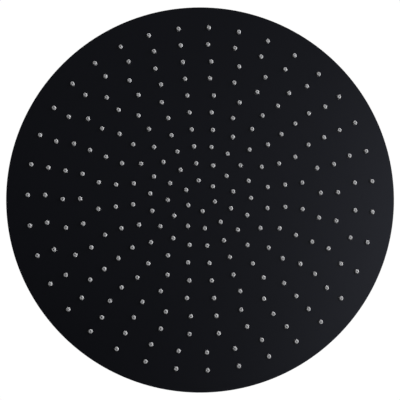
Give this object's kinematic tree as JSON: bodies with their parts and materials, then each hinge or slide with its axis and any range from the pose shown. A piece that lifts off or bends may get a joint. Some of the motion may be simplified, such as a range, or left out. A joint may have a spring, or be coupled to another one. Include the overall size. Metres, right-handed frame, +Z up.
{
  "type": "rain shower head",
  "caption": "Round flat black rain shower head with rings of soft grey nozzles, hung by a ball swivel from a hexagonal union nut with a pipe thread.",
  "frame": {"origin": "centre of the mouth of the inlet thread, on the union nut's top face", "axes": "+Z up the inlet thread towards the supply arm; the spray face looks down along -Z; +Y points at the nozzle that starts every ring"},
  "size_m": [0.3, 0.3, 0.0562],
  "materials": {
    "black_sheet": "satin black coat on stainless sheet",
    "black_fitting": "satin black coat on turned brass",
    "grey_silicone": "soft grey silicone, slightly translucent",
    "black_rubber": "matt black rubber",
    "white_plastic": "smooth off-white plastic",
    "plain_steel": "plain stainless steel"
  },
  "bodies": {
    "nut": {"union_nut": "black_fitting"},
    "stem": {"ball_stem": "black_fitting", "stem_clip": "plain_steel", "inlet_washer": "black_rubber", "filter_screen": "plain_steel"},
    "seats": {"slip_ring": "white_plastic", "seat_seal": "black_rubber"},
    "head": {"collar_nut": "black_fitting", "hub": "black_fitting", "back_plate": "black_sheet", "face_plate": "black_sheet", "support_pillars": "plain_steel", "nozzle_ring_01": "grey_silicone", "nozzle_ring_02": "grey_silicone", "nozzle_ring_03": "grey_silicone", "nozzle_ring_04": "grey_silicone", "nozzle_ring_05": "grey_silicone", "nozzle_ring_06": "grey_silicone", "nozzle_ring_07": "grey_silicone", "nozzle_ring_08": "grey_silicone", "nozzle_ring_09": "grey_silicone", "nozzle_ring_10": "grey_silicone"}
  },
  "joints": [
    {"name": "stem_turn", "type": "hinge", "parent": "nut", "child": "stem", "pos_m": [0, 0, -0.0147], "axis": [0, 0, 1], "continuous": true},
    {"name": "head_tilt", "type": "hinge", "parent": "stem", "child": "seats", "pos_m": [0, 0, -0.03152], "axis": [1, 0, 0], "range_deg": [-15, 15]},
    {"name": "head_spin", "type": "hinge", "parent": "seats", "child": "head", "pos_m": [0, 0, -0.03152], "axis": [0, 0, 1], "continuous": true}
  ]
}
